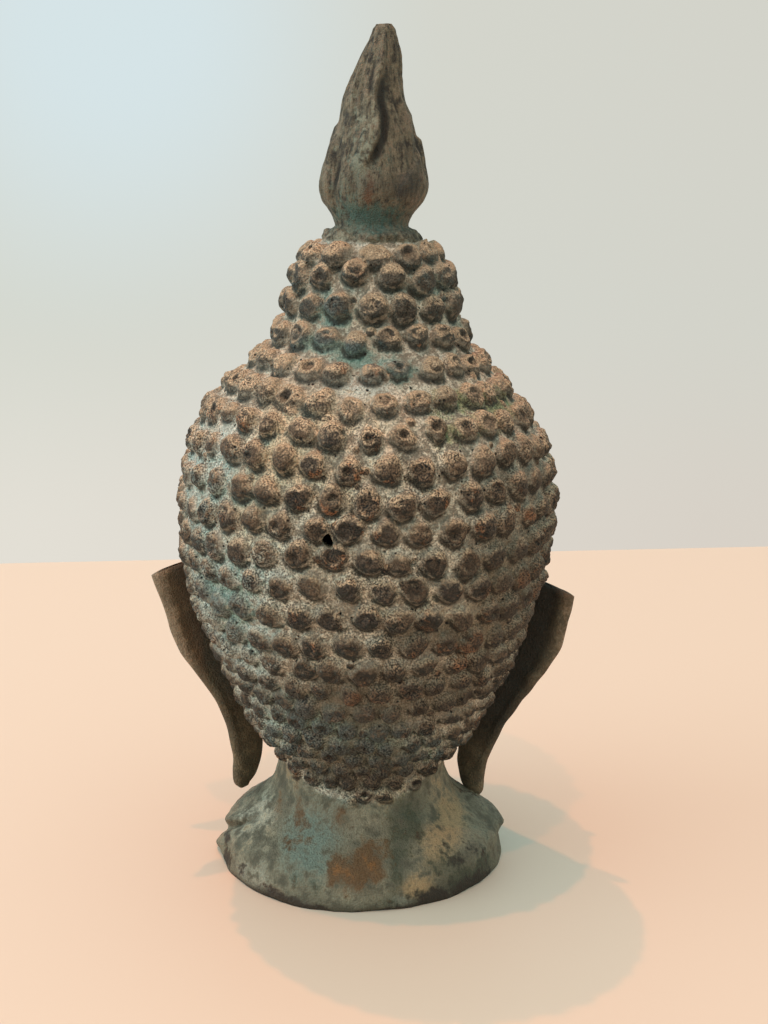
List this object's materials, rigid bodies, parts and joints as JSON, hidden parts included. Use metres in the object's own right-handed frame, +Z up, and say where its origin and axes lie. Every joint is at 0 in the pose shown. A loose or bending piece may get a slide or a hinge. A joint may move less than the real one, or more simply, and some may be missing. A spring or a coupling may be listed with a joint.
{
  "type": "bronze buddha head",
  "caption": "Hollow cast bronze Buddha head with rows of raised curls, a flame finial, long ears and a flared foot that it stands on, under old green and brown patina",
  "frame": {"origin": "on the surface that the head stands on, under the middle of its bounding box", "axes": "+Z is up, the face looks along -Y, and +X is the side of the head's own left ear"},
  "size_m": [0.1538, 0.1418, 0.29],
  "materials": {
    "patinated_bronze": "old cast bronze, dark brown on the curls, with pale dust and green patina between them"
  },
  "bodies": {
    "root": {"buddha_head": "patinated_bronze"}
  },
  "joints": []
}
